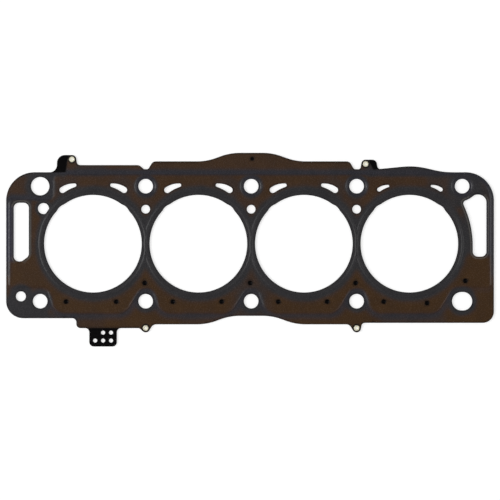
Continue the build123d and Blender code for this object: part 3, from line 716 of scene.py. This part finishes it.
def active_layer(name, side, base, sizes):
    """One embossed sheet. Its outer face stands at base plus side times the rise, and its inner face one sheet
    thickness behind. The rise is a smooth step of the distance inside the run's foot, and on it the highest of the
    full bead, the run's ridge and the line round the end slots."""
    points, triangles, upright = facing_skin(name, side)
    rim, links = smooth_edges(points[:, :2], open_edges(triangles), sizes.edge_step / MM)
    flat = (upright > FLAT_UPRIGHT) & (np.abs(points[triangles][:, :, 2] - base).max(1) < FLAT_NEAR)
    sloping = upright < FLAT_UPRIGHT
    foot, foot_links = smooth_edges(
        points[:, :2], open_edges(triangles[flat], triangles[sloping]), FOOT_STEPS * sizes.edge_step / MM)
    run = foot[foot_links[:, 1]] - foot[foot_links[:, 0]]
    run /= np.maximum(np.linalg.norm(run, axis=1), 1e-9)[:, None]
    right = np.column_stack([run[:, 1], -run[:, 0]])
    offsets = RUN_ROWS[:, None] - run_shift(foot[foot_links[:, 0]])
    rows = (foot[foot_links[:, 0]][None] + right[None] * offsets[:, :, None]).reshape(-1, 2)

    middle = (rim[links[:, 0]] + rim[links[:, 1]]) / 2
    slots = np.zeros(len(links), bool)
    for low_x, low_y, high_x, high_y in SLOT_BOXES:
        slots |= (middle > (low_x, low_y)).all(1) & (middle < (high_x, high_y)).all(1)
    edge = rim[links[slots, 1]] - rim[links[slots, 0]]
    left = np.column_stack([-edge[:, 1], edge[:, 0]]) / np.linalg.norm(edge, axis=1)[:, None]
    beside = (rim[links[slots, 0]][None] + left[None] * SLOT_ROWS[:, None, None]).reshape(-1, 2)
    heads = (circle_points(RIVET_CIRCLES, SMALL_POINTS)[None] + RIVETS[:, None]).reshape(-1, 2)
    between = lattice(ACTIVE_STEP, ACTIVE_STEP[0] / 2)
    # The rows, the circles and the lattice are evenly spaced already.
    inner = thin_out([rim, rows, beside, heads, bore_rings(), between], ACTIVE_CELL, even=(1, 4, 5))[len(rim):]

    def heights(places, at_rim):
        """The sheet's upper and lower face at each place, and the layers that its material reads."""
        from_foot = foot_distance(places, foot, foot_links)
        inside = from_foot + run_shift(places)
        fade = 1 - smooth_ramp(np.linalg.norm(places - DOWEL_BORE - FADE_OFFSET, axis=1), *FADE_RADII)
        flank = RUN_FLANK * (1 + FADE_WIDER * fade)
        half = smooth_ramp(inside, 0, flank)
        run = ridge(inside - flank, flank)
        line = ridge(np.abs(foot_distance(places, rim, links[slots])) - SLOT_LINE, SLOT_LINE_HALF)
        beads = np.maximum(BEAD_RISE * full_bead(places), RUN_RIDGE * (1 - FADE_LOWER * fade) * run)
        rise = RUN_RISE * half + np.maximum(beads, SLOT_LINE_RISE * line)
        outer = base + side * rise
        behind = outer - side * ACTIVE_T
        # The punch draws the outer face down along every cut edge.
        outer = outer - side * (sizes.edge_roll / MM * at_rim)
        tone = TONE_WEIGHT * run_tone(from_foot + TONE_SHIFT, places) * (1 - FADE_PALER * fade)
        # A painted shadow: a dark ring round each rivet's head, and painted shade along every cut edge.
        from_rivet = np.linalg.norm(places[:, None] - RIVETS[None], axis=2).min(1)
        layers = {
            "depth": coat_depth(places, from_foot + TONE_SHIFT),
            "band": np.maximum(tone, strip_tone(places)),
            # A painted highlight: the line round the end slots is painted paler.
            "line": SLOT_LINE_HIGHLIGHT * line,
            "rim": np.maximum(at_rim, RIVET_SHADOW_STRENGTH * (1 - smooth_ramp(from_rivet, *RIVET_SHADOW_RADII))),
        }
        return (outer, behind, layers) if side > 0 else (behind, outer, layers)

    return sheet_mesh(name.replace("_", " "), rim, links, inner, heights)


def carrier_mesh(sizes):
    """The carrier plate: its CAD outline carried smoothly, with flat faces, and a shallow round dish under each blind
    hole whose depth falls with the square of the distance from its middle."""
    name = "carrier_plate"
    points, triangles, _ = facing_skin(name, 1)
    rim, links = smooth_edges(points[:, :2], open_edges(triangles), sizes.edge_step / MM)
    low, high = (corner.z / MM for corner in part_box(name))
    dishes = (circle_points(DISH_CIRCLES, SMALL_POINTS)[None] + BLIND_HOLES[:, None]).reshape(-1, 2)
    inner = thin_out([rim, dishes, lattice(CARRIER_STEP)], CARRIER_CELL)[len(rim):]

    def heights(places, at_rim):
        """The plate's upper and lower face at each place, and the layers that its material reads."""
        r = np.linalg.norm(places[:, None] - BLIND_HOLES[None], axis=2).min(1)
        depth = DISH_DEPTH * np.clip(1 - (r / DISH_R) ** 2, 0, 1)
        layers = {"rim": at_rim, "dish": smooth_ramp(depth, 0, DISH_FINISH)}
        return high - depth - sizes.edge_roll / MM * at_rim, np.full(len(places), low), layers

    return sheet_mesh("carrier plate", rim, links, inner, heights)


def eyelet_mesh(name, sizes):
    """A tubular rivet as a profile turned round its axis: up the bore, out over the rolled head in a rounded lip, in
    under the head to the barrel, down it, and the same below. Each point is the profile's radius at an angle, and its
    height."""
    low, high = (np.array(corner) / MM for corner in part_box(name))
    x, y = (low[:2] + high[:2]) / 2
    top, head = high[2], sizes.head_height / MM
    lip = high[0] - x
    turn = np.linspace(0, 1, 7)
    quarter = turn * np.pi / 2
    flare = np.column_stack([
        RIVET_BORE_R + FLARE_WIDTH * (1 - np.cos(quarter)), top - FLARE_DEPTH + FLARE_RISE * np.sin(quarter)])
    crown = [(radius, top - depth) for radius, depth in CROWN]
    bend = turn[1:] * np.pi * LIP_BEND
    edge = np.column_stack([lip - head / 2 * (1 - np.sin(bend)), top - head / 2 * (1 - np.cos(bend))])
    upper = np.concatenate([flare, crown, edge, [(lip - LIP_UNDER, top - head), (RIVET_BARREL_R, top - head)]])
    middle = (low[2] + top) / 2
    lower = upper[::-1] * [1, -1] + [0, 2 * middle]
    profile = np.concatenate([upper, lower])
    angle = np.arange(RIVET_SPOKES) * 2 * np.pi / RIVET_SPOKES
    radius, height = profile[:, :1], profile[:, 1:]
    ring = np.stack([
        x + radius * np.cos(angle), y + radius * np.sin(angle), np.broadcast_to(height, (len(profile), RIVET_SPOKES)),
    ], axis=2).reshape(-1, 3)
    row, column = np.meshgrid(np.arange(len(profile)), np.arange(RIVET_SPOKES), indexing="ij")
    row, below = row * RIVET_SPOKES, (row + 1) % len(profile) * RIVET_SPOKES
    beside = (column + 1) % RIVET_SPOKES
    faces = np.stack([row + column, below + column, below + beside, row + beside], axis=2).reshape(-1, 4)
    mesh = bpy.data.meshes.new(name.replace("_", " "))
    mesh.from_pydata(ring * MM, [], faces.tolist())
    # Painted shade on the lip's outer edge, where it turns under.
    lip_shade = smooth_ramp(profile[:, 0], *(lip - np.array(LIP_SHADE)))
    attribute = mesh.attributes.new("lip", "FLOAT", "POINT")
    attribute.data.foreach_set("value", np.repeat(lip_shade, RIVET_SPOKES).astype(np.float32))
    mesh.polygons.foreach_set("use_smooth", np.ones(len(faces), bool))
    mesh.set_sharp_from_angle(angle=math.radians(RIVET_SHARP))
    return mesh


# ---------------------------------------------------------------- operators


class GASKET_OT_active_layers(bpy.types.Operator):
    """Builds the two embossed, elastomer-coated sheets"""

    bl_idname = "gasket.active_layers"
    bl_label = "Active Layers"

    def execute(self, context):
        sizes, colours = context.scene.gasket_sizes, context.scene.gasket_colours
        coat, cut = coated_steel(colours), sheared_edge()
        for name, side, base in (("upper_layer", 1, UPPER_FLAT), ("lower_layer", -1, LOWER_FLAT)):
            mesh = active_layer(name, side, base, sizes)
            place_piece(name + "_sheet", mesh, "brown_elastomer_coated_steel", name, coat, cut)
        return {"FINISHED"}


class GASKET_OT_carrier_plate(bpy.types.Operator):
    """Builds the thick carrier plate with its ears and thickness tab"""

    bl_idname = "gasket.carrier_plate"
    bl_label = "Carrier Plate"

    def execute(self, context):
        sizes, colours = context.scene.gasket_sizes, context.scene.gasket_colours
        coat, cut = black_coat(colours), sheared_edge()
        place_piece("carrier_plate_sheet", carrier_mesh(sizes), "black_coated_steel", "carrier_plate", coat, cut)
        return {"FINISHED"}


class GASKET_OT_stopper_rings(bpy.types.Operator):
    """Gives the four stopper rings their bare spring steel"""

    bl_idname = "gasket.stopper_rings"
    bl_label = "Stopper Rings"

    def execute(self, context):
        steel = spring_steel()
        for number in range(1, 5):
            mesh = frame["nodes"][f"stopper_ring_{number}"].data
            mesh.materials.clear()
            mesh.materials.append(steel)
        return {"FINISHED"}


class GASKET_OT_rivets(bpy.types.Operator):
    """Builds the tubular rivets that hold the sheets together"""

    bl_idname = "gasket.rivets"
    bl_label = "Rivets"

    def execute(self, context):
        sizes, plate = context.scene.gasket_sizes, plated_steel(context.scene.gasket_colours)
        for name in EYELETS:
            place_piece(name + "_turned", eyelet_mesh(name, sizes), "plated_steel", name, plate)
        return {"FINISHED"}


class GASKET_OT_stage(bpy.types.Operator):
    """Lays the pale floor and sets the camera and the soft lights"""

    bl_idname = "gasket.stage"
    bl_label = "Stage"

    def execute(self, context):
        scene = context.scene
        scene.view_settings.view_transform = "Standard"

        # A matt white card, which glows up to plain white where it is seen directly or in a reflection.
        paper, tree = new_material("White card")
        path = add(tree, "ShaderNodeLightPath")
        seen = add(tree, "ShaderNodeMath", {
            0: path.outputs["Is Camera Ray"], 1: path.outputs["Is Glossy Ray"]}, operation="MAXIMUM")
        shown = add(tree, "ShaderNodeMath", {
            0: seen.outputs[0], 1: path.outputs["Is Transmission Ray"]}, operation="MAXIMUM")
        lift = add(tree, "ShaderNodeMath", {0: shown.outputs[0], 1: FLOOR_GLOW}, operation="MULTIPLY")
        card = add(tree, "ShaderNodeBsdfDiffuse", {"Color": (*scene.gasket_colours.floor, 1)})
        glow = add(tree, "ShaderNodeEmission", {"Strength": lift.outputs[0]})
        both = add(tree, "ShaderNodeAddShader", {0: card.outputs[0], 1: glow.outputs[0]})
        add(tree, "ShaderNodeOutputMaterial", {"Surface": both.outputs[0]})
        angle = np.arange(FLOOR_SIDES) * 2 * np.pi / FLOOR_SIDES
        disc = np.column_stack([FLOOR_R * np.cos(angle), FLOOR_R * np.sin(angle), np.full(FLOOR_SIDES, FLOOR_Z)])
        mesh = bpy.data.meshes.new("floor")
        mesh.from_pydata(disc, [], [list(range(FLOOR_SIDES))])
        mesh.materials.append(paper)
        floor = bpy.data.objects.new("floor", mesh)
        scene.collection.objects.link(floor)

        # White card all round at the height of the horizon, and a dim ceiling over it.
        world = bpy.data.worlds.new("Studio")
        world.use_nodes = True
        sky = world.node_tree
        sky.nodes.clear()
        way = add(sky, "ShaderNodeTexCoord")
        height = add(sky, "ShaderNodeSeparateXYZ", {"Vector": way.outputs["Generated"]})
        level = add(sky, "ShaderNodeMapRange", {
            "Value": height.outputs["Z"], "From Min": 0.05, "From Max": 0.75, "To Min": 1.0, "To Max": 0.12,
        }, interpolation_type="SMOOTHSTEP")
        light = add(sky, "ShaderNodeBackground", {"Color": (1, 1, 1, 1), "Strength": level.outputs[0]})
        add(sky, "ShaderNodeOutputWorld", {"Surface": light.outputs[0]})
        scene.world = world

        for name, place, size, watts in LAMPS:
            lamp = bpy.data.lights.new(name, "AREA")
            lamp.shape, lamp.energy = "RECTANGLE", watts
            lamp.size, lamp.size_y = size
            lamp_object = bpy.data.objects.new(name, lamp)
            lamp_object.location = place
            lamp_object.rotation_euler = (AIM - Vector(place)).to_track_quat("-Z", "Y").to_euler()
            scene.collection.objects.link(lamp_object)

        camera = bpy.data.cameras.new("camera")
        camera.sensor_width, camera.lens = SENSOR, LENS
        camera.clip_start, camera.clip_end = 0.1, 50
        camera_object = bpy.data.objects.new("camera", camera)
        distance = VIEW_WIDTH / 2 / (SENSOR / 2 / LENS)
        camera_object.location = AIM + Vector((0, 0, distance))
        scene.collection.objects.link(camera_object)
        scene.camera = camera_object
        return {"FINISHED"}


class GASKET_PT_panel(bpy.types.Panel):
    """Lists the gasket's pieces with their sizes and colours"""

    bl_label = "Head Gasket"
    bl_idname = "GASKET_PT_panel"
    bl_space_type = "VIEW_3D"
    bl_region_type = "UI"
    bl_category = "Gasket"

    def draw(self, context):
        for group in (context.scene.gasket_sizes, context.scene.gasket_colours):
            for name in group.__annotations__:
                self.layout.prop(group, name)
        for step in OPERATORS:
            self.layout.operator(step.bl_idname)


OPERATORS = (
    GASKET_OT_active_layers, GASKET_OT_carrier_plate, GASKET_OT_stopper_rings, GASKET_OT_rivets, GASKET_OT_stage)
CLASSES = (GasketSizes, GasketColours, *OPERATORS, GASKET_PT_panel)


def register():
    """Registers the classes and hangs the settings on the scene."""
    for item in CLASSES:
        bpy.utils.register_class(item)
    bpy.types.Scene.gasket_sizes = bpy.props.PointerProperty(type=GasketSizes)
    bpy.types.Scene.gasket_colours = bpy.props.PointerProperty(type=GasketColours)


def unregister():
    """Takes the settings and classes away again."""
    del bpy.types.Scene.gasket_colours
    del bpy.types.Scene.gasket_sizes
    for item in reversed(CLASSES):
        bpy.utils.unregister_class(item)


def main():
    """Builds every piece in order."""
    register()
    bpy.ops.gasket.active_layers()
    bpy.ops.gasket.carrier_plate()
    bpy.ops.gasket.stopper_rings()
    bpy.ops.gasket.rivets()
    bpy.ops.gasket.stage()


if __name__ == "__main__":
    main()
